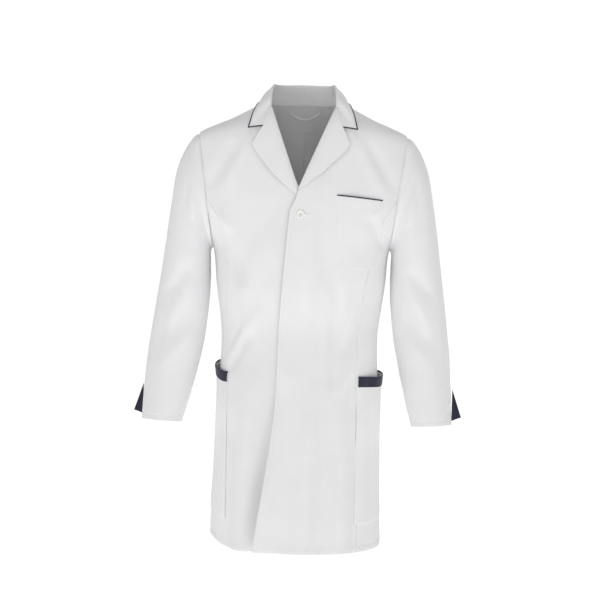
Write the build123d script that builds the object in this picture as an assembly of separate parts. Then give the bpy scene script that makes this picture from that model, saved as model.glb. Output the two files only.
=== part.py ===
from build123d import *
from math import asin, cos, pi, sin
import os

# Lab coat, worn shape. Millimetres. X to the wearer's left, Y to the wearer's back, Z up.
# The origin is at the middle of the neck, level with the shoulder-neck points.

# ---------------------------------------------------------------- driving dimensions
CLOTH = 1.6             # a made-up cloth wall: face, seam allowances and facing together
SEAM_HALF_GAP = 0.3     # half the crack between the pieces that meet at the shoulder seam
GAP = 0.5               # clearance between cloths of different bodies
HEM_Z = -985.0          # bottom edge of the coat
UNDERARM_Z = -330.0     # bottom of the armhole
SHOULDER_X = 228.0      # end of the shoulder seam
SHOULDER_Z = -82.0
UNDERARM_X = 194.0      # the armhole seam leans in from the shoulder to here
SQUARENESS = 2.3        # 2 is an ellipse; more makes the chest and back flatter
NECK_Z = -6.0           # the cloth of the body ends here, under the collar

# Sections of the body, top to bottom: height, half width, depth to the front, depth to the back.
BODY = [
    (8, 70, 58, 62),
    (-14, 98, 74, 76),
    (-46, 160, 90, 90),
    (-82, 231, 100, 100),
    (-130, 242, 110, 109),
    (-200, 240, 119, 115),
    (-265, 224, 122, 116),
    (-330, 194, 124, 114),
    (-410, 185, 121, 109),
    (-515, 171, 106, 103),
    (-620, 173, 113, 118),
    (-740, 177, 123, 126),
    (-860, 180, 131, 130),
    (HEM_Z - 20, 185, 138, 134),
]

# Layers over the body form, as the distance of their inner face from it.
OVERLAP_LIFT = 6.6      # the left front rides this far out where it lies over the right front
FLY_LIFT = 3.2          # inner face of the fly strip, between the two fronts
LAPEL_LIFT = 9.2        # inner face of the folded-back lapels
LIFT_FADE = (20.0, 52.0)        # the overlap's lift fades out between these distances from the middle
LAPEL_SETBACK = 3.0     # from the roll line to the lapel's straight edge

# Front edges and folds, as (x, z) points from the top down.
ROLL_TOP = (64.0, -22.0)
BREAK = (0.0, -196.0)   # where the left front's edge folds back into the lapel
UNDER_CORNER = (24.0, -220.0)   # top corner of the right front, hidden under the left front
LEFT_EDGE = [BREAK, (-6, -224), (-14, -240), (-18, -254), (-26, -360), (-34, -477), (-39, -653),
             (-45, -734), (-55, -822), (-68, -923), (-77, HEM_Z)]
OVERLAP = 42.0          # how far the fronts lie over each other
FOLD_TOP = Vector(58, -121, -211)       # left front's fold axis
FOLD_FOOT = Vector(95, -140, HEM_Z)
FOLD_HALF = 22.0        # half the width of the cloth that bends at the fold
FOLD_MEETS_ROLL_Z = -95.0
LEFT_BEND_Z = -235.0    # above these heights the threads run straight up to the cloth's top line
RIGHT_BEND_Z = -262.0
FOLD_BEND_Z = -300.0
PRINCESS = [(206, -222), (178, -270), (160, -330), (146, -420), (139, -515),
            (141, -650), (147, -820), (152, HEM_Z)]

# Lapel and collar
LAPEL_EDGE = [(84, -64), (109, -102), (101, -115), (70, -150), (22, -192)]
# The collar's seam, roll and outer edge: points at the notch, the chest, the neck's side and the back.
COLLAR_LINES = [
    ((64, -66, -46), (70, -44, -12), (72, -6, 4), (0, 66, 2)),
    ((57, -98, -56), (67, -66, -12), (68, -12, 26), (0, 71, 33)),
    ((116, -98, -58), (113, -62, -24), (108, 4, -6), (0, 106, -16)),
]
COLLAR_STATIONS = 28    # round the neck, from notch to notch
STAND_STARTS = 6        # the stand's first station, as the lapels take its place before that
STAND_CLOTH = 1.4
STAND_CLEARANCE = (1.5, 2.5)    # below the stand, over the body cloth, and above it, under the roll
COLLAR_CLOTH = 2.0
ROLL_OUT = 4.0          # the collar's fall starts this far outside the stand
PIPING = 3.2            # diameter of the corded navy piping
PIPING_DROP = 2.0       # clearance between the fall's edge and its piping
NECK_FACING_HALF = 58.0
NECK_FACING_Z = (-70.0, -14.0)

# Sleeves: underarm end (x, z) and outer end (x, z) of each section, its middle y, half its width in y
SLEEVE = [
    ((196.6, -332), (229.0, -80), 0, 63),
    ((198.0, -338), (256, -112), 0, 67),
    ((198.5, -346), (277, -165), 0, 71),
    ((198.5, -356), (288, -235), 0, 73),
    ((198.5, -374), (299, -315), -1, 73),
    ((198.0, -402), (309, -392), -3, 70),
    ((200.0, -455), (317, -453), -6, 66),
    ((210.0, -545), (328, -545), -13, 60),
    ((231.0, -640), (335.5, -640), -28, 54),
    ((250.0, -714), (338, -708), -40, 50),
]
SWING_STATIONS = (3.2, 4.3)     # the cloth that bends where the sleeve swings, under the cap
ELBOW_STATIONS = (5.2, 6.3)     # the cloth that bends at the elbow
SLEEVE_CRACK = 0.008    # of a station, so that the lengths don't touch
SLIT_TOP_Z = -632.0     # apex of the cuff gusset
CUFF_HEM = 28.0
HEM_CLOTH = 1.2
GUSSET_FLARE = 20.0
GUSSET_CLOTH = 2.0
GUSSET_RISE = (12.0, 8.0)       # its outer and inner corner above the sleeve's edge
GUSSET_CLEARANCE = (1.0, 1.6)   # from the sleeve to its apex and to its inner corner
GUSSET_BEHIND = 14.0    # behind the middle of the cuff

# Pockets
CHEST_POCKET_X = (88.0, 180.0)
CHEST_POCKET_Z = (-376.0, -211.0)
CHEST_POCKET_DROP = 12.0        # the mouth slopes down towards the side
CHEST_POCKET_SLACK = (8.0, 2.4) # how far it stands off the chest, at its mouth and at its floor
CHEST_PIPING_SETBACK = 0.3      # how far the piping reaches inside the pocket's cloth, and in front
CHEST_PIPING_CLOTH = 2.5
HIP_POCKET_MOUTH_Z = -607.0
HIP_POCKET_FLOOR_Z = -925.0
HIP_BAND = 24.0
HIP_POCKET_BACK_Y = 62.0
HIP_POCKET_GAPE = 15.0
HIP_POCKET_CLEARANCE = 2.4      # from the coat's form to the pocket, all over
HIP_GAPE_PEAK = 0.4     # of the way from its front edge to its back edge
HIP_FRONT_Y = (-74.0, -97.0)    # the pocket's front edge at its mouth and at its floor

# Buttons, and the two strips behind the front edges
BUTTON_D = 17.5
BUTTON_T = 3.0
HIDDEN_BUTTON_D = 15.0
HIDDEN_BUTTON_T = 2.4
TOP_BUTTON_Z = -254.0
HIDDEN_BUTTON_PITCH = 118.0
HIDDEN_BUTTONS = 4
HIDDEN_BUTTON_LIFT = 1.6
BUTTON_SETBACK = 2.0    # from the middle of the overlap to the buttons
BUTTON_RIM = 2.5
BUTTON_EYE_D = 1.4
BUTTON_EYE_OFFSET = 1.6
SHANK_D = 3.2
SHANK_CLEARANCE = (0.8, 0.1)    # from the cloth to the thread shank, and in all
BUTTONHOLE_D = 25.0     # a clearance hole stands for the buttonhole's slit
FLY_CLOTH = 1.2
STRIP_INSET = 2.0       # from the front's edge to the strip behind it
FLY_ABOVE_BUTTON = 16.0
FACING_ABOVE_BUTTON = 6.0
FLY_ABOVE_HEM = 8.0
INSIDE_HEM = 4.0        # the facing and the vent's flap end this far above the hem

# Back
VENT_Z = -640.0
VENT_FLAP_X = (-45.0, 14.0)
LOOP_HALF = 32.0
LOOP_Z = -26.0
LOOP_DROP = 14.0
LOOP_TAPE = (2.0, 5.0)  # thickness and width
LOOP_OFF_WALL = (6.0, 8.0)      # its middle and its ends off the back's cloth

# Meshes
SIDE_SEAM_TURN = pi / 2 - 0.003
SIDE_FRONT_DROP = 6.0   # from the top of the princess seam to the side front's first row
TOP_CROWDING = 1.6      # rows of the long cloths lie closer together near their top

os.makedirs("parts", exist_ok=True)


# ---------------------------------------------------------------- the body form
def smooth_between(rows, at):
    """Every column of some rows, read off at a height, on a smooth curve through them."""
    if at >= rows[0][0]:
        return list(rows[0][1:])
    if at <= rows[-1][0]:
        return list(rows[-1][1:])
    n = next(i for i in range(len(rows) - 1) if rows[i][0] >= at >= rows[i + 1][0])
    above, below = rows[n], rows[n + 1]
    before, after = rows[max(n - 1, 0)], rows[min(n + 2, len(rows) - 1)]
    span = below[0] - above[0]
    t = (at - above[0]) / span
    values = []
    for k in range(1, len(above)):
        into = (below[k] - before[k]) / (below[0] - before[0]) * span
        out_of = (after[k] - above[k]) / (after[0] - above[0]) * span
        values.append(
            above[k] * (2 * t**3 - 3 * t**2 + 1)
            + into * (t**3 - 2 * t**2 + t)
            + below[k] * (3 * t**2 - 2 * t**3)
            + out_of * (t**3 - t**2)
        )
    return values


def curve_x(points, z):
    """X of a smooth seam at a height, from its (x, z) points."""
    return smooth_between([(height, x) for x, height in points], z)[0]


def section_at(z):
    """Half width, front depth and back depth of the body form at a height."""
    return smooth_between(BODY, z)


def ridge_z(x):
    """Height of the shoulder line, where the front meets the back, at an x."""
    high, low = BODY[0][0], SHOULDER_Z
    for _ in range(40):
        middle = (high + low) / 2
        if section_at(middle)[0] < abs(x):
            high = middle
        else:
            low = middle
    return low


def swell(x, inner, outer):
    """0 beyond x = outer, 1 inside x = inner, smooth between."""
    share = max(0.0, min(1.0, (outer - x) / (outer - inner)))
    return share * share * (3 - 2 * share)


def turn_at(x, z):
    """How far round the section from its middle an x lies, in radians."""
    half = section_at(z)[0]
    return asin(min(1.0, abs(x) / half) ** (SQUARENESS / 2)) * (1 if x >= 0 else -1)


def on_form(turn, z, out=0.0, behind=False):
    """The point of the body form at a turn from the middle of its front, or of its back."""
    half, front, back = section_at(z)
    sign = 1 if turn >= 0 else -1
    x = sign * (half + out) * abs(sin(turn)) ** (2 / SQUARENESS)
    depth = cos(turn) ** (2 / SQUARENESS)
    if behind:
        return Vector(x, (back + out) * depth, z)
    return Vector(x, -(front + out) * depth, z)


def at_x(x, z, out=0.0, lift=0.0, behind=False):
    """The point of the coat's front, or back, at (x, z), which the overlap lifts near the middle."""
    half, front, back = section_at(z)
    depth = (1 - min(abs(x) / (half + out), 1.0) ** SQUARENESS) ** (1 / SQUARENESS)
    if behind:
        return Vector(x, (back + out) * depth, z)
    return Vector(x, -(front + out) * depth - lift * swell(x, *LIFT_FADE), z)


# ---------------------------------------------------------------- making cloth
def triangle(a, b, c):
    return Face(Wire.make_polygon([a, b, c], close=True))


def cloth(place, rows, columns, thick, outward):
    """A cloth through the points of place(across, down), both 0 to 1, thickened outward."""
    inner = [[place(c / columns, r / rows) for c in range(columns + 1)] for r in range(rows + 1)]

    def normal(r, c):
        down = inner[min(r + 1, rows)][c] - inner[max(r - 1, 0)][c]
        across = inner[r][min(c + 1, columns)] - inner[r][max(c - 1, 0)]
        return across.cross(down).normalized()

    side = 1 if normal(rows // 2, columns // 2).dot(Vector(*outward)) > 0 else -1
    outer = []
    for r in range(rows + 1):
        outer.append([inner[r][c] + normal(r, c) * (side * thick) for c in range(columns + 1)])
    faces = []
    for grid in (inner, outer):
        for r in range(rows):
            for c in range(columns):
                faces.append(triangle(grid[r][c], grid[r][c + 1], grid[r + 1][c + 1]))
                faces.append(triangle(grid[r][c], grid[r + 1][c + 1], grid[r + 1][c]))
    rim = [(0, c) for c in range(columns)] + [(r, columns) for r in range(rows)]
    rim += [(rows, c) for c in range(columns, 0, -1)] + [(r, 0) for r in range(rows, 0, -1)]
    for (r, c), (next_r, next_c) in zip(rim, rim[1:] + rim[:1]):
        faces.append(triangle(inner[r][c], inner[next_r][next_c], outer[next_r][next_c]))
        faces.append(triangle(inner[r][c], outer[next_r][next_c], outer[r][c]))
    solid = Solid(Shell(faces))
    return solid if solid.volume > 0 else -solid


def between(a, b, share):
    return a + (b - a) * share


def front_cloth(left, right, top, bend_z, lift=0.0, rows=22, columns=8):
    """A front piece between two seams, x of z, below a top line, (x, z) of the share across.

    Above bend_z its threads run straight up to the top line.
    """
    def place(across, down):
        top_x, top_z = top(across)
        z = between(top_z, HEM_Z, down**TOP_CROWDING)
        if z >= bend_z:
            low_x = between(left(bend_z), right(bend_z), across)
            x = between(top_x, low_x, (top_z - z) / (top_z - bend_z))
        else:
            x = between(left(z), right(z), across)
        if down == 0 and z > ridge_z(x) - 1:
            return Vector(x, -SEAM_HALF_GAP, z)
        return at_x(x, z, lift=lift)

    return cloth(place, rows, columns, CLOTH, (0, -1, 0))


def strip_cloth(left, right, top_z, foot_z, out, thick, columns=4, rows=14):
    """A front piece between two seams and two level edges."""
    def place(across, down):
        z = between(top_z, foot_z, down)
        return at_x(between(left(z), right(z), across), z, out)

    return cloth(place, rows, columns, thick, (0, -1, 0))


def side_cloth(left, right, top_z, foot_z, rows=22, columns=6):
    """A piece of the coat's side between two seams given as turns round the body at a height."""
    def place(across, down):
        z = between(top_z, foot_z, down)
        return on_form(between(left(z), right(z), across), z)

    return cloth(place, rows, columns, CLOTH, (1, -0.2, 0))


def mirrored(shape):
    return mirror(shape, Plane.YZ)


def save(shape, name):
    solids = [s for s in shape.solids() if s.volume > 1.0]
    solid = solids[0] if len(solids) == 1 else Compound(solids)
    export_step(solid, f"parts/{name}.step")
    box = solid.bounding_box()
    print(f"{name:24s} {len(solids)} solids {solid.volume:10.0f} mm3 valid {solid.is_valid}", end=" ")
    print(f"x {box.min.X:.0f}..{box.max.X:.0f} y {box.min.Y:.0f}..{box.max.Y:.0f}", end=" ")
    print(f"z {box.min.Z:.0f}..{box.max.Z:.0f}")


# ---------------------------------------------------------------- lines of the pattern
def fold_x(z, side=0.0):
    """X of the left front's fold at a height, or of a line beside it."""
    share = (FOLD_TOP.Z - z) / (FOLD_TOP.Z - FOLD_FOOT.Z)
    return between(FOLD_TOP.X, FOLD_FOOT.X, share) + side


def roll_z(x):
    """Height of the roll line, where the lapel folds back, at an x."""
    return BREAK[1] + (x - BREAK[0]) * (ROLL_TOP[1] - BREAK[1]) / (ROLL_TOP[0] - BREAK[0])


def roll_x(z):
    return BREAK[0] + (z - BREAK[1]) * (ROLL_TOP[0] - BREAK[0]) / (ROLL_TOP[1] - BREAK[1])


def armhole_x(z):
    return SHOULDER_X + (UNDERARM_X - SHOULDER_X) * (SHOULDER_Z - z) / (SHOULDER_Z - UNDERARM_Z)


def left_edge(z):
    return curve_x(LEFT_EDGE, z)


def right_edge(z):
    return curve_x(LEFT_EDGE, z) + OVERLAP


def princess(z):
    return curve_x(PRINCESS, z)


def button_x(z):
    return left_edge(z) + OVERLAP / 2 - BUTTON_SETBACK


def button_heights():
    return [TOP_BUTTON_Z - HIDDEN_BUTTON_PITCH * n for n in range(HIDDEN_BUTTONS + 1)]


# ---------------------------------------------------------------- body cloth
def buttonhole(z):
    """A clearance hole through the front of the coat."""
    long = BODY[-1][2]
    return Pos(button_x(z), -long, z) * Rot(90, 0, 0) * Cylinder(BUTTONHOLE_D / 2, long)


def build_fronts():
    roll_end = fold_x(FOLD_MEETS_ROLL_Z, -FOLD_HALF)

    def inner_fold(z):
        return fold_x(z, -FOLD_HALF)

    def outer_fold(z):
        return fold_x(z, FOLD_HALF)

    def roll_top(across):
        x = between(BREAK[0], roll_end, across)
        return x, roll_z(x)

    left = front_cloth(left_edge, inner_fold, roll_top, LEFT_BEND_Z, OVERLAP_LIFT)
    save(left - buttonhole(TOP_BUTTON_Z), "left_front")

    def right_top(across):
        corner_x, corner_z = UNDER_CORNER
        x = between(-roll_end, corner_x, across)
        return x, roll_z(-x) if x < 0 else between(BREAK[1], corner_z, x / corner_x)

    right = front_cloth(lambda z: -inner_fold(z), right_edge, right_top, RIGHT_BEND_Z)
    save(right, "right_front")

    neck_x = outer_fold(NECK_Z)

    def fold_top(across):
        x = between(roll_end + GAP, neck_x, across)
        return x, min(roll_z(x) - GAP, NECK_Z)

    def fold_cloth(lift):
        return front_cloth(lambda z: inner_fold(z) + GAP, outer_fold, fold_top, FOLD_BEND_Z, lift, columns=6)

    save(fold_cloth(OVERLAP_LIFT), "left_front_fold")
    save(mirrored(fold_cloth(0.0)), "right_front_fold")

    def shoulder_top(across):
        x = between(neck_x + GAP, SHOULDER_X, across)
        return x, min(ridge_z(x), NECK_Z)

    def chest_seam(z):
        return princess(z) if z < PRINCESS[0][1] else armhole_x(z)

    princess_top = PRINCESS[0][1]
    chest = front_cloth(lambda z: outer_fold(z) + GAP, chest_seam, shoulder_top, princess_top, rows=26)
    save(chest, "left_shoulder_front")
    save(mirrored(chest), "right_shoulder_front")

    def beside_princess(z):
        return turn_at(princess(z) + 3 * GAP, z)

    side = side_cloth(beside_princess, side_turn, princess_top - SIDE_FRONT_DROP, HEM_Z)
    save(side, "left_side_front")
    save(mirrored(side), "right_side_front")


def side_turn(z):
    """The turn of the armhole's edge, and of the side seam below it."""
    return turn_at(armhole_x(z), z) if z > UNDERARM_Z else SIDE_SEAM_TURN


def build_backs():
    def place(across, down):
        top_x = between(GAP / 2, SHOULDER_X, across)
        top_z = min(ridge_z(top_x), NECK_Z)
        bend_z = PRINCESS[0][1]
        z = between(top_z, HEM_Z, down**TOP_CROWDING)
        if z >= bend_z:
            low_turn = side_turn(bend_z) * across
            low_x = on_form(low_turn, bend_z).X
            x = between(top_x, max(low_x, GAP / 2), (top_z - z) / (top_z - bend_z))
            if down == 0 and z > ridge_z(x) - 1:
                return Vector(x, SEAM_HALF_GAP, z)
            return at_x(x, z, behind=True)
        point = on_form(side_turn(z) * across, z, behind=True)
        return Vector(max(point.X, GAP / 2), point.Y, point.Z)

    back = cloth(place, 26, 12, CLOTH, (0, 1, 0))
    save(back, "left_back")
    save(mirrored(back), "right_back")

    def flap(across, down):
        z = between(VENT_Z, HEM_Z + INSIDE_HEM, down)
        return at_x(between(*VENT_FLAP_X, across), z, -CLOTH - GAP, behind=True)

    save(cloth(flap, 8, 4, CLOTH, (0, 1, 0)), "back_vent_flap")


def build_facings():
    fly_width = OVERLAP - STRIP_INSET
    fly = strip_cloth(lambda z: left_edge(z) + STRIP_INSET, lambda z: left_edge(z) + fly_width,
                      TOP_BUTTON_Z + FLY_ABOVE_BUTTON, HEM_Z + FLY_ABOVE_HEM, FLY_LIFT, FLY_CLOTH, rows=28)
    for z in button_heights():
        fly -= buttonhole(z)
    save(fly, "fly_strip")
    facing = strip_cloth(lambda z: right_edge(z) - fly_width, lambda z: right_edge(z) - STRIP_INSET,
                         TOP_BUTTON_Z + FACING_ABOVE_BUTTON, HEM_Z + INSIDE_HEM,
                         -CLOTH - 2 * GAP, CLOTH, rows=28)
    save(facing, "right_front_facing")


def build_lapels():
    top_z, foot_z = LAPEL_EDGE[0][1], LAPEL_EDGE[-1][1]
    lapel = strip_cloth(lambda z: roll_x(z) + LAPEL_SETBACK, lambda z: curve_x(LAPEL_EDGE, z),
                        top_z, foot_z, LAPEL_LIFT, CLOTH, columns=5, rows=12)
    save(lapel, "left_lapel")
    save(mirrored(lapel), "right_lapel")


# ---------------------------------------------------------------- collar
def collar_stations(count=COLLAR_STATIONS):
    """Stations round the neck from the right notch by the back to the left notch.

    Each is the seam point, the roll point and the outer edge point.
    """
    lines = []
    for front, chest, side, back in COLLAR_LINES:
        left = [front, chest, side]
        right = [(-x, y, z) for x, y, z in left]
        lines.append(Spline(*right, back, *left[::-1]))
    return [[line @ (n / count) for line in lines] for n in range(count + 1)]


def outward(point):
    """The level direction from the neck's middle to a point."""
    return Vector(point.X, point.Y, 0).normalized()


def band(rows, thick):
    """A ruled cloth band through pairs of points, thickened away from the neck."""
    wires = []
    for low, high in rows:
        away = outward((low + high) / 2) * thick
        wires.append(Wire.make_polygon([low, high, high + away, low + away], close=True))
    return Solid.make_loft(wires, ruled=True)


def build_collar():
    rows = collar_stations()
    below, above = STAND_CLEARANCE
    stand = []
    for seam, roll, _ in rows[STAND_STARTS:-STAND_STARTS]:
        stand.append((seam + Vector(0, 0, below), roll - Vector(0, 0, above)))
    save(band(stand, STAND_CLOTH), "collar_stand")
    fall = [(roll + outward(roll) * ROLL_OUT, edge) for _, roll, edge in rows]
    save(band(fall, COLLAR_CLOTH), "collar_fall")
    down = Vector(0, 0, PIPING / 2 + PIPING_DROP)
    edge_line = [edge + outward(edge) * (COLLAR_CLOTH / 2) - down for _, edge in fall]
    path = Spline(*edge_line[::3])
    profile = Plane(origin=path @ 0, z_dir=path % 0) * Circle(PIPING / 2)
    save(sweep(profile, path=path), "collar_piping")


def build_neck_inside():
    def facing(across, down):
        x = between(-NECK_FACING_HALF, NECK_FACING_HALF, across)
        return at_x(x, between(*NECK_FACING_Z[::-1], down), -CLOTH - GAP, behind=True)

    save(cloth(facing, 5, 6, CLOTH, (0, 1, 0)), "neck_facing")
    wall = section_at(LOOP_Z)[2] - 2 * CLOTH - 2 * GAP
    middle_y, end_y = wall - LOOP_OFF_WALL[0], wall - LOOP_OFF_WALL[1]
    middle = (0, middle_y, LOOP_Z - LOOP_DROP)
    path = Spline((-LOOP_HALF, end_y, LOOP_Z), middle, (LOOP_HALF, end_y, LOOP_Z))
    profile = Plane(origin=path @ 0, z_dir=path % 0) * Rectangle(*LOOP_TAPE)
    save(sweep(profile, path=path), "hanger_loop")


# ---------------------------------------------------------------- sleeves
def sleeve_place(along, round_share, out):
    """A point of the sleeve, at a station number with its fraction, round_share of the way round it."""
    rows = [(-n, *low, *high, y, half) for n, (low, high, y, half) in enumerate(SLEEVE)]
    low_x, low_z, high_x, high_z, middle_y, half_y = smooth_between(rows, -along)
    axis = Vector(high_x - low_x, 0, high_z - low_z)
    centre = Vector((low_x + high_x) / 2, middle_y, (low_z + high_z) / 2)
    angle = 2 * pi * round_share
    return (centre + axis.normalized() * ((axis.length / 2 + out) * cos(angle))
            + Vector(0, (half_y + out) * sin(angle), 0))


def sleeve_tube(start, end, out=0.0, thick=CLOTH, rows=8, columns=24):
    """A length of the sleeve from one station to another, its outer face a distance out."""
    def rings(grow):
        grid = []
        for r in range(rows + 1):
            along = between(start, end, r / rows)
            grid.append([sleeve_place(along, c / columns, grow) for c in range(columns)])
        return grid

    outer, inner = rings(out), rings(out - thick)
    faces = []
    for grid in (outer, inner):
        for r in range(rows):
            for c in range(columns):
                ahead = (c + 1) % columns
                faces.append(triangle(grid[r][c], grid[r][ahead], grid[r + 1][ahead]))
                faces.append(triangle(grid[r][c], grid[r + 1][ahead], grid[r + 1][c]))
    for r in (0, rows):
        for c in range(columns):
            ahead = (c + 1) % columns
            faces.append(triangle(outer[r][c], outer[r][ahead], inner[r][ahead]))
            faces.append(triangle(outer[r][c], inner[r][ahead], inner[r][c]))
    solid = Solid(Shell(faces))
    return solid if solid.volume > 0 else -solid


def build_sleeve():
    swing_top, swing_foot = SWING_STATIONS
    elbow_top, elbow_foot = ELBOW_STATIONS
    return {
        "sleeve_cap": sleeve_tube(0, swing_top),
        "sleeve_bend": sleeve_tube(swing_top + SLEEVE_CRACK, swing_foot - SLEEVE_CRACK, rows=3),
        "upper_sleeve": sleeve_tube(swing_foot, elbow_top, rows=4),
        "elbow": sleeve_tube(elbow_top + SLEEVE_CRACK, elbow_foot - SLEEVE_CRACK, rows=3),
        "lower_sleeve": sleeve_tube(elbow_foot, len(SLEEVE) - 1, rows=10),
    }


def build_cuff():
    last = len(SLEEVE) - 1
    last_length = SLEEVE[-2][0][1] - SLEEVE[-1][0][1]
    hem = sleeve_tube(last - CUFF_HEM / last_length, last - SLEEVE_CRACK, -CLOTH - GAP, HEM_CLOTH, rows=4)
    (cuff_x, cuff_z), cuff_y = SLEEVE[-1][1:3]
    apex = (cuff_x + GUSSET_CLEARANCE[0], SLIT_TOP_Z)
    outer = (cuff_x + GUSSET_FLARE, cuff_z + GUSSET_RISE[0])
    inner = (cuff_x + GUSSET_CLEARANCE[1], cuff_z + GUSSET_RISE[1])
    gusset = extrude(make_face(Plane.XZ * Polyline(apex, outer, inner, close=True)), GUSSET_CLOTH)
    return {"cuff_hem": hem, "cuff_gusset": Pos(0, cuff_y + GUSSET_BEHIND, 0) * gusset}


def build_sleeves():
    for name, piece in {**build_sleeve(), **build_cuff()}.items():
        save(piece, f"left_{name}")
        save(mirrored(piece), f"right_{name}")


# ---------------------------------------------------------------- pockets
def build_chest_pocket():
    low_x, high_x = CHEST_POCKET_X
    low_z, high_z = CHEST_POCKET_Z
    mouth_slack, floor_slack = CHEST_POCKET_SLACK

    def bag(across, down):
        z = between(high_z - PIPING - CHEST_POCKET_DROP * across, low_z, down)
        return at_x(between(low_x, high_x, across), z, CLOTH + between(mouth_slack, floor_slack, down**2))

    save(cloth(bag, 8, 6, CLOTH, (0, -1, 0)), "chest_pocket")

    def mouth(across, down):
        z = high_z - CHEST_POCKET_DROP * across - (PIPING - GAP) * down
        return at_x(between(low_x, high_x, across), z, CLOTH + mouth_slack - CHEST_PIPING_SETBACK)

    save(cloth(mouth, 4, 6, CHEST_PIPING_CLOTH, (0, -1, 0)), "chest_pocket_piping")


def build_hip_pockets():
    mouth, floor = HIP_POCKET_MOUTH_Z, HIP_POCKET_FLOOR_Z
    (top_y, foot_y), back_y = HIP_FRONT_Y, HIP_POCKET_BACK_Y

    def place_at(top, foot):
        def place(across, down):
            z = between(top, foot, down)
            share = (mouth - z) / (mouth - floor)
            y = between(between(top_y, foot_y, share), back_y, across)
            half, front, back = section_at(z)
            gape = HIP_POCKET_GAPE * sin(pi * min(across / (2 * HIP_GAPE_PEAK), 1.0))
            out = HIP_POCKET_CLEARANCE + gape * (1 - min(1.0, share * 2) ** 0.5)
            depth = (front if y < 0 else back) + out
            x = (half + out) * (1 - min(1.0, abs(y) / depth) ** SQUARENESS) ** (1 / SQUARENESS)
            return Vector(x, y, z)
        return place

    bag = cloth(place_at(mouth - HIP_BAND - GAP, floor), 10, 12, CLOTH, (1, 0, 0))
    band_cloth = cloth(place_at(mouth, mouth - HIP_BAND), 4, 12, CLOTH, (1, 0, 0))
    for name, piece in {"hip_pocket": bag, "hip_pocket_band": band_cloth}.items():
        save(piece, f"left_{name}")
        save(mirrored(piece), f"right_{name}")


# ---------------------------------------------------------------- buttons
def button_at(z, back_out, across, thick):
    """A four-hole button whose back stands off the body form."""
    x = button_x(z)
    y = at_x(x, z, back_out).Y
    body = Pos(x, y - thick / 2, z) * Rot(90, 0, 0) * Cylinder(across / 2, thick)
    body -= Pos(x, y - thick, z) * Rot(90, 0, 0) * Cylinder(across / 2 - BUTTON_RIM, thick * 0.4)
    eye = Rot(90, 0, 0) * Cylinder(BUTTON_EYE_D / 2, thick * 2)
    for dx in (-BUTTON_EYE_OFFSET, BUTTON_EYE_OFFSET):
        for dz in (-BUTTON_EYE_OFFSET, BUTTON_EYE_OFFSET):
            body -= Pos(x + dx, y - thick / 2, z + dz) * eye
    return body, Vector(x, y, z)


def thread(place):
    """The thread shank between a button and the right front."""
    off_cloth, in_all = SHANK_CLEARANCE
    skin = at_x(place.X, place.Z, CLOTH).Y - off_cloth
    long = abs(place.Y - skin) - in_all
    return Pos(place.X, (place.Y + skin) / 2, place.Z) * Rot(90, 0, 0) * Cylinder(SHANK_D / 2, long)


def joined(pieces):
    return Compound([solid for piece in pieces for solid in piece.solids()])


def build_buttons():
    heights = button_heights()
    top, place = button_at(heights[0], 2 * CLOTH + OVERLAP_LIFT, BUTTON_D, BUTTON_T)
    save(top, "top_button")
    hidden_out = CLOTH + HIDDEN_BUTTON_LIFT
    hidden = [button_at(z, hidden_out, HIDDEN_BUTTON_D, HIDDEN_BUTTON_T) for z in heights[1:]]
    save(joined(body for body, _ in hidden), "hidden_buttons")
    save(joined(thread(spot) for spot in [place] + [spot for _, spot in hidden]), "button_threads")


def main():
    build_fronts()
    build_backs()
    build_facings()
    build_lapels()
    build_collar()
    build_neck_inside()
    build_sleeves()
    build_chest_pocket()
    build_hip_pockets()
    build_buttons()


main()
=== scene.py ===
import math

import bmesh
import bpy
import numpy as np
from mathutils import Matrix, Vector


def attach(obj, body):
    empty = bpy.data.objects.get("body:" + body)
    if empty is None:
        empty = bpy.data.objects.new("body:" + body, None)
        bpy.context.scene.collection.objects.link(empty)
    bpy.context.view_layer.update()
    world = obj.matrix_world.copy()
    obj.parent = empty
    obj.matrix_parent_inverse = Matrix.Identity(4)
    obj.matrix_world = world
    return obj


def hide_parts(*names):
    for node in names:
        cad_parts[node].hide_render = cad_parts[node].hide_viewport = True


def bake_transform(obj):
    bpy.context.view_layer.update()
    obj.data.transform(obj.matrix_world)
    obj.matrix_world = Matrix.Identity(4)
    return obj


# Lab coat, worn shape. Lengths are in millimetres up to the mesh builders, which turn them into metres.
# X to the wearer's left, Y to the wearer's back, Z up, from the middle of the neck.

# ---- driving dimensions
CLOTH = 0.9             # thickness of the coat's cloth
THIN_CLOTH = 0.7        # of its facings and hems
DOUBLE_CLOTH = 1.2      # of its bands, gussets and hanger loop
COLLAR_CLOTH = 1.4
HEM_Z = -985.0          # the hem's height, before it is raised and lowered below
NECK_Z = -6.0           # the fronts and backs end here, under the collar
SHOULDER = (228.0, -82.0)      # both ends of the armhole, as (x, z)
UNDERARM = (194.0, -330.0)
SQUARENESS = 2.3        # power of the superellipse that every section of the body is
SIDES = (("left", 1), ("right", -1))

# Sections of the body: height, half width, depth to the front, depth to the back.
BODY = [
    (8, 70, 58, 62),
    (-14, 94, 74, 76),
    (-46, 153, 90, 90),
    (-82, 229, 100, 100),
    (-130, 242, 110, 109),
    (-200, 240, 119, 115),
    (-265, 224, 122, 116),
    (-330, 194, 124, 114),
    (-410, 185, 121, 109),
    (-515, 171, 106, 103),
    (-620, 173, 113, 118),
    (-740, 177, 123, 126),
    (-860, 180, 131, 130),
    (-1005, 185, 138, 134),
]

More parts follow.
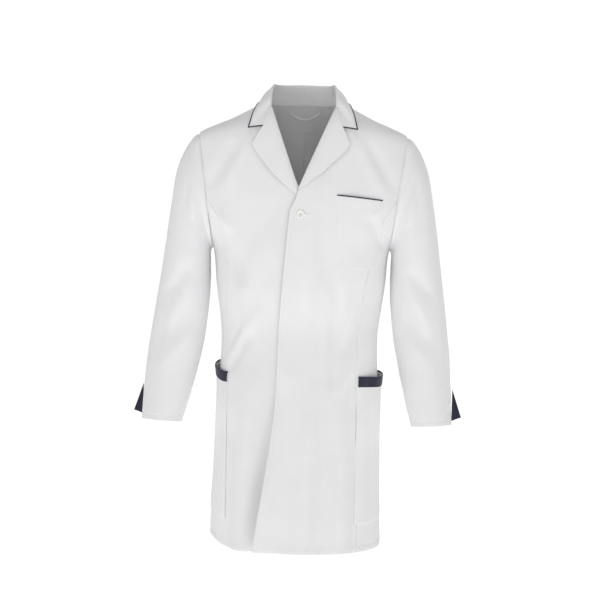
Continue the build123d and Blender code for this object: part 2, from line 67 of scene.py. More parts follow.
# Lines of the pattern on the left half, as (height, x): the roll line from the collar to its break, the
# left front's edge and the princess seam.
ROLL_TOP = (-22.0, 70.0)
BREAK = (-204.0, -6.5)
PRINCESS_TOP_Z = -222.0
LEFT_EDGE = [(-204, -6.5), (-229, -12.5), (-245, -20.5), (-259, -24.5), (-362, -32.5), (-476, -40.5),
             (-648, -45.5), (-727, -51.5), (-813, -61.5), (-911, -74.5), (-985, -83.5)]
PRINCESS = [(PRINCESS_TOP_Z, 208.8), (-270, 178), (-330, 160), (-420, 146), (-515, 139), (-650, 141),
            (-820, 147), (-985, 152)]
# Outer edge of each lapel, down from the collar, as (height, distance from the middle).
LAPEL_EDGE = {
    "left": [(-22, 71), (-67, 84), (-106, 102), (-119, 95), (-168, 46), (-200, 6), (-209, -6)],
    "right": [(-22, 71), (-67, 84), (-110, 109), (-122, 102), (-172, 63), (-206, 26), (-222, 4)],
}
OVERLAP = 42.0          # the right front reaches this far under the left one
OVERLAP_LIFT = 5.6      # how far the left front stands off the form there
FLY_LIFT = 2.0          # and the fly strip between them
UNDER_HOLLOW = 16.0     # depth of the right front's hollow behind the left edge, at the hem
FLARE = 17.0            # how far the left front's edge curls forward, at the hem
FLY_FLARE = 14.0
FLARE_REACH = 70.0      # width of cloth that curls
DRIFT = 14.0            # the front's lines slip this far to the wearer's right, low down
HEM_RISE = 24.0         # the hem is this much higher behind
HEM_DROP = 5.0          # and this much lower at the left front

# The left front's fold line runs from FOLD_TOP to FOLD_FOOT; bend_at_fold works out its direction, but
# nothing swings or bends about it.
FOLD_TOP = (58.0, -121.0, -211.0)
FOLD_FOOT = (95.0, -140.0, HEM_Z)

# The collar's seam, roll and outer edge, at the notch, the chest, the neck's side, behind it and the back.
COLLAR_LINES = [
    ((69, -67, -28), (77, -44, -17), (87, -6, -13), (62, 53, -12), (0, 72, -11)),
    ((70, -72, -24), (69, -56, 2), (65, -10, 27), (50, 44, 31), (0, 67, 34)),
    ((118, -100, -74), (108, -64, -35), (93, 4, -8), (70, 62, -10), (0, 91, -22)),
]
COLLAR_SHARES = (0.0, 0.14, 0.28, 0.40, 0.5)
COLLAR_STATIONS = 141   # profiles from one end of the collar to the other
FALL_COLUMN = 16        # the point of a profile where the fall starts
PIPED_COLUMN = 22       # and the one where the piping starts, at both ends
PIPING = 2.8            # thickness of the piping

# Sleeves: underarm end (x, z), outer end (x, z), middle y, half width in y of each section.
SLEEVE = [
    (196.6, -332, 229.0, -80, 0, 63),
    (198.0, -338, 256, -112, 0, 67),
    (198.5, -346, 277, -165, 0, 71),
    (198.5, -356, 288, -235, 0, 73),
    (198.5, -374, 299, -315, -1, 73),
    (198.0, -402, 309, -392, -3, 70),
    (200.0, -455, 317, -453, -6, 66),
    (210.0, -545, 328, -545, -13, 60),
    (231.0, -640, 335.5, -640, -28, 54),
    (250.0, -714, 338, -708, -40, 50),
]
CUFF = len(SLEEVE) - 1
CUFF_STITCHING = CUFF - 0.15
SLEEVE_PARTING = 5.0    # the cap's cloth and the arm's cloth meet at this section
GUSSET_TOP_Z = -632.0
GUSSET_FLARE = 20.0

CHEST_POCKET_X = (77.0, 176.0)
CHEST_POCKET_Z = (-377.0, -216.0)
CHEST_POCKET_DROP = 8.5
CHEST_HEM = 22.0        # the hem of its mouth is stitched this far down
HIP_MOUTH_Z = -607.0
HIP_FLOOR_Z = -925.0
HIP_BAND = 23.0         # height of the navy band
HIP_BACK_Y = 62.0
# Of the left hip pocket (1) and the right one (-1): how far its mouth stands off the coat, its front
# edge, and how much higher its mouth is there and by the side.
HIP_GAPE = {1: 15.0, -1: 9.5}
HIP_FRONT_X = {1: 141.0, -1: 136.5}
HIP_MOUTH_RISE = {1: (0.0, 0.0), -1: (5.0, 12.0)}

TOP_BUTTON_Z = -260.0
BUTTON_PITCH = 118.0
HIDDEN_BUTTONS = 4
BUTTON_D = 17.5
HIDDEN_BUTTON_D = 15.0
HOLE_OFFSET = 1.6       # of a button's four holes from its middle, either way
VENT_Z = -640.0
VENT_WIDTH = 45.0
VENT_FLAP = 59.0        # width of the flap under the vent

STITCH = 2.6            # length of a stitch, and the gap after it below
STITCH_GAP = 0.8
TOPSTITCHING = 8.0      # distance of the stitching from a turned edge
HEM_STITCHING = 12.0    # and from the hem
STEP = 4.5              # distance between the points of a cloth
FINE = (0.5, 1.1, 1.8, 2.8, 4.2, 6.0, 7.2, 8.0, 8.8, 10.0, 12.0)    # and from its edges, close to them
HEM_SHARES = 1 - np.array([0.012, 0.0085, 0.005, 0.0025, 0.001, 0.0])    # the same, as shares of a length
# Rough widths and heights of cloths, which only set how many points they have.
FRONT_ACROSS = 215
BACK_ACROSS = 250
SIDE_ACROSS, SIDE_DOWN = 90, 763
VENT_DOWN = 345
FLY_ACROSS, FLY_DOWN = 38, 720
LAPEL_ACROSS = 60
CHEST_ACROSS, CHEST_DOWN = 92, 160
HIP_ACROSS, HIP_DOWN = 150, 310

# Camera and studio, in metres and degrees.
CAMERA_DISTANCE = 5.0
CAMERA_TARGET_Z = -0.444
CAMERA_TURN = 1.0
CAMERA_ROLL = 1.25
VIEW_WIDTH = 1.32
FLOOR_Z = -1.5
FLOOR_HALF = 40.0
WORLD_LIGHT = 0.36      # strength of the world as a lamp, and as the camera sees it
WORLD_SEEN = 1.05

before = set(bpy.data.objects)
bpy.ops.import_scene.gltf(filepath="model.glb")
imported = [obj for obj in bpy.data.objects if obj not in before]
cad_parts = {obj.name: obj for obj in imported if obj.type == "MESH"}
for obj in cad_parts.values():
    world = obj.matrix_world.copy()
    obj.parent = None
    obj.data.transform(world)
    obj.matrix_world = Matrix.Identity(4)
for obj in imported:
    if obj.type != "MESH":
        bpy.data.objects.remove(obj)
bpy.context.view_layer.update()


# ---- curves and the body form
def smooth_through(rows):
    """A function that runs smoothly through rows of (position, values...)."""
    data = np.array(sorted(rows), float)
    at, values = data[:, 0], data[:, 1:]
    slopes = np.zeros_like(values)
    slopes[1:-1] = (values[2:] - values[:-2]) / (at[2:] - at[:-2])[:, None]
    slopes[0] = (values[1] - values[0]) / (at[1] - at[0])
    slopes[-1] = (values[-1] - values[-2]) / (at[-1] - at[-2])

    def read(position):
        position = np.clip(np.asarray(position, float), at[0], at[-1])
        i = np.clip(np.searchsorted(at, position) - 1, 0, len(at) - 2)
        span = (at[i + 1] - at[i])[..., None]
        t = (position - at[i])[..., None] / span
        result = values[i] * (2 * t**3 - 3 * t**2 + 1)
        result += slopes[i] * span * (t**3 - 2 * t**2 + t)
        result += values[i + 1] * (3 * t**2 - 2 * t**3)
        result += slopes[i + 1] * span * (t**3 - t**2)
        return result

    return read


body = smooth_through(BODY)
left_edge_line = smooth_through(LEFT_EDGE)
princess_line = smooth_through(PRINCESS)
sleeve_sections = smooth_through([(n, *row) for n, row in enumerate(SLEEVE)])


def left_edge(z):
    return left_edge_line(z)[..., 0]


def right_edge(z):
    return left_edge(z) + OVERLAP


def drift(z):
    """How far the lines of the front have slipped to the wearer's right by a height."""
    return DRIFT * ease((-z - 250) / 350)


def princess(z, sign=1):
    """The seam of one half, as a distance from the middle."""
    return princess_line(z)[..., 0] - sign * drift(z)


def armhole_x(z):
    """Distance of the armhole's seam from the middle."""
    share = (SHOULDER[1] - z) / (SHOULDER[1] - UNDERARM[1])
    return SHOULDER[0] + (UNDERARM[0] - SHOULDER[0]) * share


def roll_x(z, sign=1):
    """Distance of a half's roll line from the middle; both halves cross at the break."""
    share = (z - BREAK[0]) / (ROLL_TOP[0] - BREAK[0])
    return sign * BREAK[1] + (ROLL_TOP[1] - sign * BREAK[1]) * share


def roll_z(x, sign=1):
    """Height of a half's roll line at a distance from the middle."""
    share = (x - sign * BREAK[1]) / (ROLL_TOP[1] - sign * BREAK[1])
    return BREAK[0] + (ROLL_TOP[0] - BREAK[0]) * share


def ridge_z(x):
    """Height of the shoulder line at an x."""
    heights = np.linspace(BODY[0][0], SHOULDER[1], 400)
    return np.interp(np.abs(x), body(heights)[:, 0], heights)


def ease(value):
    """0 below 0, 1 above 1, smooth between."""
    share = np.clip(value, 0.0, 1.0)
    return share * share * (3 - 2 * share)


def bump(distance, width):
    """1 at no distance, falling to nothing over about a width."""
    return np.exp(-(distance / width) ** 2)


def turn_at(x, z):
    """The turn round the form, as at_turn takes it, of a point at an x."""
    half = body(z)[..., 0]
    share = np.minimum(1.0, np.abs(x) / half) ** (SQUARENESS / 2)
    return np.arcsin(share) * np.sign(x)


def across_share(distance, reach):
    """How much of its middle depth a section still has at a distance from the middle."""
    return (1 - np.minimum(1.0, np.abs(distance) / reach) ** SQUARENESS) ** (1 / SQUARENESS)


def front_at(x, z):
    """The point of the form's front at an x and a height."""
    half, front, _ = np.moveaxis(body(z), -1, 0)
    return np.stack([x, -front * across_share(x, half), z], -1)


def back_at(x, z):
    """The point of the form's back at an x and a height."""
    half, _, back = np.moveaxis(body(z), -1, 0)
    return np.stack([x, back * across_share(x, half), z], -1)


def at_turn(turn, z, behind):
    """A point of the form at a turn from the middle of its front or its back."""
    half, front, back = np.moveaxis(body(z), -1, 0)
    x = half * np.sign(turn) * np.abs(np.sin(turn)) ** (2 / SQUARENESS)
    depth = np.maximum(np.cos(turn), 0.0) ** (2 / SQUARENESS)
    y = back * depth if behind else -front * depth
    return np.stack([x, y, z], -1)


def form_normal(points):
    """The direction straight out of the form at some points of it."""
    x, y, z = np.moveaxis(points, -1, 0)
    here, slope = body(z), (body(z + 1.0) - body(z - 1.0)) / 2
    half, d_half = here[..., 0], slope[..., 0]
    depth = np.where(y < 0, here[..., 1], here[..., 2])
    d_depth = np.where(y < 0, slope[..., 1], slope[..., 2])
    n = SQUARENESS
    gx = np.sign(x) * np.abs(x) ** (n - 1) / half**n
    gy = np.sign(y) * np.abs(y) ** (n - 1) / depth**n
    gz = -(np.abs(x) ** n * d_half / half ** (n + 1) + np.abs(y) ** n * d_depth / depth ** (n + 1))
    normal = np.stack([gx, gy, gz], -1)
    return normal / np.linalg.norm(normal, axis=-1, keepdims=True)


# ---- folds and wrinkles
def ripples(points, scale, seed, stretch=(1.0, 1.0, 1.0)):
    """A smooth random wave over points, about -1 to 1, its humps about a scale across."""
    random = np.random.default_rng(seed)
    total = np.zeros(points.shape[:-1])
    for _ in range(9):
        direction = random.normal(size=3)
        direction /= np.linalg.norm(direction) * scale * random.uniform(0.7, 1.5)
        wave = points @ (direction * np.array(stretch)) * math.pi
        total += np.sin(wave + random.uniform(0, 2 * math.pi))
    return total / 4.0


def crease(points, start, end, width, height):
    """A soft ridge, or a hollow where height is negative, along a line from (x, z) to (x, z)."""
    flat = points[..., [0, 2]]
    start, end = np.array(start, float), np.array(end, float)
    along = end - start
    share = ((flat - start) @ along) / (along @ along)
    nearest = start + np.clip(share, 0, 1)[..., None] * along
    distance = np.linalg.norm(flat - nearest, axis=-1)
    fade = ease((share + 0.25) / 0.5) * ease((1.25 - share) / 0.5)
    return height * bump(distance, width) * fade


# Each fold of the worn coat: from (x, z), to (x, z), its width and its height, a hollow's below 0.
FRONT_CREASES = [
    ((-108, -520), (-150, -600), 10, -5.0),
    ((-84, -470), (-152, -572), 15, 3.5),
    ((-128, -500), (-160, -575), 7, -2.5),
    ((-150, -300), (-122, -410), 13, -5.0),
    ((-172, -262), (-136, -340), 11, 4.0),
    ((-132, -400), (-96, -520), 16, 3.5),
    ((-60, -420), (-26, -640), 24, 3.0),
    ((-104, -620), (-120, -985), 20, 6.0),
    ((-140, -700), (-146, -985), 10, -4.0),
    ((60, -430), (44, -640), 20, 4.0),
    ((84, -420), (72, -620), 13, -4.0),
    ((110, -450), (104, -620), 16, 3.5),
    ((36, -640), (14, -985), 22, 5.0),
    ((66, -690), (58, -985), 19, -5.5),
    ((100, -640), (100, -985), 18, 6.0),
    ((128, -720), (126, -985), 13, -4.5),
    ((148, -262), (178, -330), 12, -3.0),
    ((170, -330), (116, -470), 12, 4.5),
    ((166, -440), (92, -560), 12, -4.5),
    ((156, -520), (88, -640), 13, 4.5),
    ((166, -600), (120, -700), 10, -3.0),
    ((146, -110), (200, -200), 14, -4.0),
    ((-146, -110), (-200, -200), 14, -4.0),
    ((-120, -96), (-168, -210), 16, 3.0),
    ((120, -96), (170, -200), 16, 3.0),
    ((196, -230), (146, -266), 11, 2.2),
    ((-200, -240), (-154, -296), 11, 2.6),
    ((-60, -262), (-100, -330), 18, -2.0),
    ((40, -300), (70, -420), 20, -2.5),
]
BACK_CREASES = [
    ((-150, -150), (-90, -330), 20, 5.0),
    ((150, -150), (96, -330), 20, 5.0),
    ((-160, -300), (-60, -520), 18, -5.0),
    ((160, -300), (70, -520), 18, -5.0),
    ((-110, -520), (-120, -985), 24, 8.0),
    ((-66, -560), (-70, -985), 16, -8.0),
    ((112, -520), (118, -985), 24, 8.0),
    ((70, -560), (72, -985), 16, -8.0),
    ((-120, -460), (-14, -520), 12, 4.5),
    ((120, -480), (24, -545), 12, 4.5),
    ((-90, -520), (20, -560), 12, -3.5),
    ((-170, -420), (-90, -440), 10, 3.5),
    ((170, -400), (90, -430), 10, 3.5),
    ((-60, -110), (60, -112), 16, 2.5),
]


def folds(points):
    """How far the worn cloth stands off the form, in and out."""
    y, z = points[..., 1], points[..., 2]
    loose = ease((-z - 60) / 140)
    low = ease((-z - 560) / 420)
    rise = ripples(points, 130, 3, (1, 1, 0.45)) * (1.2 + 2.4 * low) * loose
    rise += ripples(points, 52, 5, (1, 1, 0.45)) * 0.9 * loose
    rise += ripples(points, 22, 7, (1, 1, 0.6)) * 0.22
    before = ease(-y / 50)
    after = ease(y / 50)
    for start, end, width, height in FRONT_CREASES:
        rise += crease(points, start, end, width, height) * before
    for start, end, width, height in BACK_CREASES:
        rise += crease(points, start, end, width, height) * after
    return rise


def raised(points, outward, rise):
    """Points moved out of the form by a rise."""
    return points + outward * rise[..., None]


# ---- building meshes
def spaced(length, start=(), end=(), step=STEP):
    """Shares from 0 to 1 along a length, with more of them near its ends where asked."""
    marks = [0.0, length] + list(start) + [length - m for m in end]
    low = max(start, default=0.0)
    high = length - max(end, default=0.0)
    count = max(2, round((high - low) / step))
    marks += list(np.linspace(low, high, count + 1))
    marks = np.array(sorted(m for m in marks if 0 <= m <= length))
    keep = np.concatenate([[True], np.diff(marks) > 0.15])
    return marks[keep] / length


def run_lengths(points, axis):
    """Distance along each row, or down each column, from its start."""
    steps = np.linalg.norm(np.diff(points, axis=axis), axis=-1)
    total = np.cumsum(steps, axis=axis)
    zero = np.zeros_like(np.take(total, [0], axis=axis))
    return np.concatenate([zero, total], axis=axis)


def grid_normal(points):
    """Unit normals of a grid of points."""
    across = np.gradient(points, axis=1)
    down = np.gradient(points, axis=0)
    normal = np.cross(across, down)
    return normal / np.maximum(np.linalg.norm(normal, axis=-1, keepdims=True), 1e-9)


# The relief of each kind of edge, by the distance from it.
EDGE_SHAPES = {
    # a seam dips, and its allowance makes a slight ridge beside it
    "seam": lambda d: -1.3 * bump(d, 1.0) + 0.45 * bump(d - 4.5, 3.0),
    # a turned edge is rounded, and its stitching sinks in a line
    "turned": lambda d: -0.5 * bump(d, 0.9) - 0.45 * bump(d - TOPSTITCHING, 0.9) + 0.25 * bump(d - 4.0, 3.0),
    "hem": lambda d: -0.5 * bump(d, 0.9) - 0.6 * bump(d - HEM_STITCHING, 1.6) + 0.3 * bump(d - 6.0, 5.0),
    "patch": lambda d: -0.8 * bump(d, 0.9) - 0.2 * bump(d - 2.8, 0.7),
    "plain": lambda d: 0.0 * d,
}


def edge_rise(points, left="plain", right="plain", top="plain", foot="plain"):
    """The relief along the four edges of a cloth."""
    from_left, from_top = run_lengths(points, 1), run_lengths(points, 0)
    from_right = from_left[:, -1:] - from_left
    from_foot = from_top[-1:, :] - from_top
    rise = EDGE_SHAPES[left](from_left) + EDGE_SHAPES[right](from_right)
    return rise + EDGE_SHAPES[top](from_top) + EDGE_SHAPES[foot](from_foot)


def rim_faces(outer, inner):
    """Faces round the border between two matching grids of vertex numbers."""
    border, within = [
        [*grid[0, :], *grid[1:, -1], *grid[-1, -2::-1], *grid[-2:0:-1, 0]] for grid in (outer, inner)
    ]
    count = len(border)
    return [(border[i], within[i], within[(i + 1) % count], border[(i + 1) % count]) for i in range(count)]


def grid_faces(numbers, flip=False):
    """Quads between the neighbours in a grid of vertex numbers."""
    a, b = numbers[:-1, :-1].ravel(), numbers[:-1, 1:].ravel()
    c, d = numbers[1:, 1:].ravel(), numbers[1:, :-1].ravel()
    quads = np.stack([a, d, c, b] if flip else [a, b, c, d], -1)
    return [tuple(q) for q in quads.tolist()]


def new_object(name, vertices, faces, material, sharp=True):
    """A smooth mesh object from points in millimetres."""
    mesh = bpy.data.meshes.new(name)
    mesh.from_pydata((np.asarray(vertices) / 1000).tolist(), [], faces)
    mesh.validate()
    mesh.polygons.foreach_set("use_smooth", [True] * len(mesh.polygons))
    if sharp:
        mesh.set_sharp_from_angle(angle=math.radians(60))
    mesh.materials.append(material)
    made = bpy.data.objects.new(name, mesh)
    bpy.context.scene.collection.objects.link(made)
    return made


def face_and_back(points, outward, thick):
    """The vertices of a cloth's face and back, and a grid of the face's vertex numbers."""
    vertices = np.concatenate([points.reshape(-1, 3), (points - outward * thick).reshape(-1, 3)])
    rows, columns = points.shape[:2]
    return vertices, np.arange(rows * columns).reshape(rows, columns)


def cloth(name, points, outward, material, thick=CLOTH):
    """A thin cloth with a face, a back and a rim. points is its face."""
    points = hem_raised(points)
    vertices, face = face_and_back(points, outward, thick)
    rows, columns = face.shape
    back = face + face.size
    middle_r, middle_c = rows // 2, columns // 2
    turned = (grid_normal(points)[middle_r, middle_c] @ outward[middle_r, middle_c]) > 0
    faces = grid_faces(face, turned) + grid_faces(back, not turned) + rim_faces(face, back)
    made = new_object(name, vertices, faces, material)
    outward_first(made)
    return made


def laid(name, points, rise, material, thick=CLOTH):
    """A cloth on points of the form, raised off it."""
    outward = form_normal(points)
    return cloth(name, raised(points, outward, rise), outward, material, thick)


def tube_cloth(name, points, outward, material, thick=CLOTH):
    """A thin sleeve: rows of rings that close on themselves."""
    vertices, face = face_and_back(points, outward, thick)
    rows, columns = face.shape
    back = face + face.size
    face, back = (np.concatenate([grid, grid[:, :1]], axis=1) for grid in (face, back))
    faces = grid_faces(face) + grid_faces(back, True)
    for r in (0, rows - 1):
        for c in range(columns):
            faces.append((face[r, c], back[r, c], back[r, c + 1], face[r, c + 1]))
    made = new_object(name, vertices, faces, material)
    outward_first(made)
    return made


def outward_first(made, weld=False):
    """Turns every face of a closed mesh to look outward, and welds its doubled points if asked."""
    shape = bmesh.new()
    shape.from_mesh(made.data)
    if weld:
        bmesh.ops.remove_doubles(shape, verts=shape.verts, dist=1e-6)
    bmesh.ops.recalc_face_normals(shape, faces=shape.faces)
    shape.to_mesh(made.data)
    shape.free()


def tube(name, path, radius, material, sides=12):
    """A round cord along a path of points, closed at its ends."""
    path = np.asarray(path, float)
    tangent = np.gradient(path, axis=0)
    tangent /= np.linalg.norm(tangent, axis=1, keepdims=True)
    up = np.array([0.0, 0.0, 1.0])
    vertices, count = [], len(path)
    for point, forward in zip(path, tangent):
        side = np.cross(forward, up)
        if np.linalg.norm(side) < 0.2:
            side = np.cross(forward, [0.0, 1.0, 0.0])
        side /= np.linalg.norm(side)
        over = np.cross(side, forward)
        for k in range(sides):
            angle = 2 * math.pi * k / sides
            vertices.append(point + radius * (math.cos(angle) * side + math.sin(angle) * over))
    numbers = np.arange(count * sides).reshape(count, sides)
    numbers = np.concatenate([numbers, numbers[:, :1]], axis=1)
    faces = grid_faces(numbers) + [tuple(range(sides)), tuple(range((count - 1) * sides, count * sides))]
    made = new_object(name, vertices, faces, material)
    outward_first(made)
    return made


def evenly(path, step):
    """Points at equal steps along a path."""
    path = np.asarray(path, float)
    run = np.concatenate([[0.0], np.cumsum(np.linalg.norm(np.diff(path, axis=0), axis=1))])
    at = np.arange(0.0, run[-1], step)
    return np.stack([np.interp(at, run, path[:, k]) for k in range(3)], -1)


def stitches(name, path, outward, material, width=0.5, height=0.3):
    """A row of stitches along a path that lies on a cloth."""
    marks = evenly(path, 0.2)
    normals = np.stack([np.interp(np.linspace(0, 1, len(marks)), np.linspace(0, 1, len(outward)),
                                  np.asarray(outward)[:, k]) for k in range(3)], -1)
    every = round((STITCH + STITCH_GAP) / 0.2)
    long = round(STITCH / 0.2)
    vertices, faces = [], []
    for first in range(0, len(marks) - long, every):
        a, b = marks[first], marks[first + long]
        up = normals[first] / np.linalg.norm(normals[first])
        along = (b - a) / max(np.linalg.norm(b - a), 1e-6)
        side = np.cross(along, up) * width / 2
        base = len(vertices)
        for point in (a, b):
            vertices += [point - side - up * height, point + side - up * height]
        for point in (a + along * 0.4, b - along * 0.4):
            vertices += [point - side * 0.5 + up * height, point + side * 0.5 + up * height]
        for face in ((0, 1, 5, 4), (2, 6, 7, 3), (0, 4, 6, 2), (1, 3, 7, 5), (4, 5, 7, 6), (0, 2, 3, 1)):
            faces.append(tuple(base + k for k in face))
    return new_object(name, vertices, faces, material)


def join(target, *others):
    """Makes several objects one, with their materials kept."""
    with bpy.context.temp_override(active_object=target, selected_editable_objects=[target, *others]):
        bpy.ops.object.join()
    return target


# ---- materials
def shader(name, colour, roughness):
    """A plain material and its Principled shader."""
    material = bpy.data.materials.new(name)
    material.use_nodes = True
    surface = material.node_tree.nodes["Principled BSDF"]
    surface.inputs["Base Color"].default_value = (*colour, 1)
    surface.inputs["Roughness"].default_value = roughness
    return material, surface


def texture(material, kind, vector, **settings):
    """A texture node at a vector, with its inputs set."""
    made = material.node_tree.nodes.new(kind)
    for name, value in settings.items():
        made.inputs[name].default_value = value
    material.node_tree.links.new(vector, made.inputs["Vector"])
    return made


def twill(name, colour, shade, sheen, relief):
    """A woven cloth: fine diagonal ribs, slubs, and a slight unevenness of colour."""
    material, surface = shader(name, colour, 0.85)
    nodes, links = material.node_tree.nodes, material.node_tree.links
    place = nodes.new("ShaderNodeTexCoord")
    uneven = texture(material, "ShaderNodeTexNoise", place.outputs["Object"], Scale=18.0, Detail=4.0)
    ramp = nodes.new("ShaderNodeValToRGB")
    low, high = ramp.color_ramp.elements
    low.color, low.position = (*[c * shade for c in colour], 1), 0.3
    high.color, high.position = (*colour, 1), 0.65
    links.new(uneven.outputs["Fac"], ramp.inputs["Fac"])
    links.new(ramp.outputs["Color"], surface.inputs["Base Color"])
    slant = (0.0, math.radians(38), 0.0)
    turn = texture(material, "ShaderNodeMapping", place.outputs["Object"], Rotation=slant)
    across = turn.outputs["Vector"]
    ribs = texture(material, "ShaderNodeTexWave", across, Scale=420.0, Distortion=0.6, Detail=1.0)
    slubs = texture(material, "ShaderNodeTexNoise", place.outputs["Object"], Scale=260.0, Detail=3.0)
    height = nodes.new("ShaderNodeMath")
    height.operation = "ADD"
    links.new(ribs.outputs["Fac"], height.inputs[0])
    links.new(slubs.outputs["Fac"], height.inputs[1])
    bumps = nodes.new("ShaderNodeBump")
    bumps.inputs["Strength"].default_value = relief
    bumps.inputs["Distance"].default_value = 0.0002
    links.new(height.outputs["Value"], bumps.inputs["Height"])
    links.new(bumps.outputs["Normal"], surface.inputs["Normal"])
    surface.inputs["Sheen Weight"].default_value = sheen
    surface.inputs["Sheen Roughness"].default_value = 0.5
    return material


WHITE = twill("white_twill", (0.835, 0.836, 0.843), 0.975, 0.12, 0.35)
FACING = twill("facing_twill", (0.80, 0.801, 0.808), 0.97, 0.1, 0.35)
NAVY = twill("navy_twill", (0.017, 0.019, 0.045), 0.8, 0.15, 0.6)
THREAD, _ = shader("sewing_thread", (0.80, 0.80, 0.81), 0.7)
RESIN, resin_surface = shader("button_resin", (0.86, 0.85, 0.80), 0.28)
resin_surface.inputs["Coat Weight"].default_value = 0.3
CREAM, _ = shader("buttonhole_thread", (0.80, 0.78, 0.70), 0.75)


def place_piece(made, body_name, slot_name, *stands_for):
    """A finished piece rides on one body."""
    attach(made, body_name)
    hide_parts(*stands_for)


def bend_at_fold(made, side, slot_name, *stands_for):
    """A front's or a lapel's cloth stays as it was built, and the parts it stands for are hidden; its fold
    line's direction is worked out but nothing bends across it.
    """
    top, foot = np.array(FOLD_TOP), np.array(FOLD_FOOT)
    run = foot - top
    across = np.array([run[2], 0.0, -run[0]])
    across /= np.linalg.norm(across)
    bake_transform(made)
    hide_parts(*stands_for)


# ---- fronts
def front_grid(left, right, top, across, down):
    """Points of a front piece between two seams, from a top line to the hem."""
    share, depth = np.meshgrid(across, down)
    top_x, top_z = top(share)
    z = top_z + (HEM_Z - top_z) * depth
    bend = np.full_like(share, PRINCESS_TOP_Z)
    low_x = left(bend) * (1 - share) + right(bend) * share
    above = top_x + (low_x - top_x) * np.clip((top_z - z) / (top_z - PRINCESS_TOP_Z), 0, 1)
    below = left(z) * (1 - share) + right(z) * share
    return front_at(np.where(z >= PRINCESS_TOP_Z, above, below), z)


def overlap_lift(x):
    """How far the left front and its lapel stand off the form, over the right front."""
    return OVERLAP_LIFT * ease((52 - x) / 32)


def edge_flare(points, forward):
    """Near the hem the left front's edge curls forward, off the right front."""
    x, z = points[..., 0], points[..., 2]
    low = ease((-z - 600) / 385)
    return forward * low * ease(1 - (x - left_edge(z)) / FLARE_REACH) ** 2


def under_hollow(x, z):
    """How far the right front falls back, low down, behind the left front's edge."""
    low = ease((-z - 620) / 365)
    from_edge = x - left_edge(z)
    return UNDER_HOLLOW * low * (bump(from_edge + 6, 17) + 0.6 * ease(from_edge / 30))


def left_front_points(across, down):
    """The face of the left front and the direction out of it."""
    def top(share):
        x = share * SHOULDER[0]
        return x, np.minimum(np.where(x < ROLL_TOP[1], roll_z(x), NECK_Z), ridge_z(x))

    def seam(z):
        return np.where(z < PRINCESS_TOP_Z, princess(z), armhole_x(z))

    points = front_grid(left_edge, seam, top, across, down)
    outward = form_normal(points)
    rise = folds(points)
    rise += edge_rise(points, left="turned", right="seam", foot="hem")
    rise += overlap_lift(points[..., 0]) + edge_flare(points, FLARE)
    return raised(points, outward, rise), outward


def right_front_points(across, down):
    """The face of the right front, under the left one, and the direction out of it."""
    def top(share):
        x = -SHOULDER[0] + share * (SHOULDER[0] + 16)
        return x, np.minimum(np.where(x > -ROLL_TOP[1], roll_z(-x, -1), NECK_Z), ridge_z(x))

    def seam(z):
        return -np.where(z < PRINCESS_TOP_Z, princess(z, -1), armhole_x(z))

    points = front_grid(seam, right_edge, top, across, down)
    outward = form_normal(points)
    rise = folds(points)
    rise += edge_rise(points, left="seam", right="turned", foot="hem")
    rise -= under_hollow(points[..., 0], points[..., 2])
    return raised(points, outward, rise), outward


def hem_raised(points):
    """Points with the hem higher behind and at the right side than before, and lowest at the left front."""
    x, y, z = np.moveaxis(points, -1, 0)
    left = ease((x + 60) / 160) * ease((20 - y) / 60)
    rise = HEM_RISE * ease((y + 118) / 90) * (1 - 0.7 * left) - HEM_DROP * left
    rise += 4.0 * ripples(points * np.array([1, 1, 0]), 90, 71)
    moved = points.copy()
    moved[..., 2] += rise * ease((-z - 600) / (-HEM_Z - 600))
    return moved


def down_shares(count, kept):
    """Shares down a front or a back, closer at its top and at its hem."""
    return np.unique(np.concatenate([(np.linspace(0, 1, count) ** 1.6)[:kept], HEM_SHARES]))


def build_fronts():
    down = down_shares(190, 186)
    across = spaced(FRONT_ACROSS, FINE, FINE, 4.0)
    points, outward = left_front_points(across, down)
    left = cloth("left_front_cloth", points, outward, WHITE)
    bend_at_fold(left, "left", "white_cloth", "left_front", "left_front_fold", "left_shoulder_front")
    column = int(np.argmin(np.abs(across * FRONT_ACROSS - TOPSTITCHING)))
    path = hem_raised(points)[4:, column]
    row = stitches("left_front_stitches", path, outward[4:, column], THREAD)
    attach(row, "left_front")
    points, outward = right_front_points(across, down)
    right = cloth("right_front_cloth", points, outward, WHITE)
    bend_at_fold(right, "right", "white_cloth", "right_front", "right_front_fold", "right_shoulder_front")


def side_turn(z):
    """The turn of the armhole's seam, and straight to the side below it."""
    return np.where(z > UNDERARM[1], turn_at(armhole_x(z), z), math.pi / 2)


def build_sides():
    down = spaced(SIDE_DOWN, FINE, FINE)
    across = spaced(SIDE_ACROSS, FINE, FINE, 4.0)
    for side, sign in SIDES:
        share, depth = np.meshgrid(across, down)
        z = PRINCESS_TOP_Z + (HEM_Z - PRINCESS_TOP_Z) * depth
        start = turn_at(princess(z, sign), z)
        turn = start + (side_turn(z) - start) * share
        points = at_turn(sign * turn, z, False)
        rise = folds(points) + edge_rise(points, left="seam", right="seam", foot="hem")
        made = laid(f"{side}_side_cloth", points, rise, WHITE)
        place_piece(made, "coat_body", "white_cloth", f"{side}_side_front")


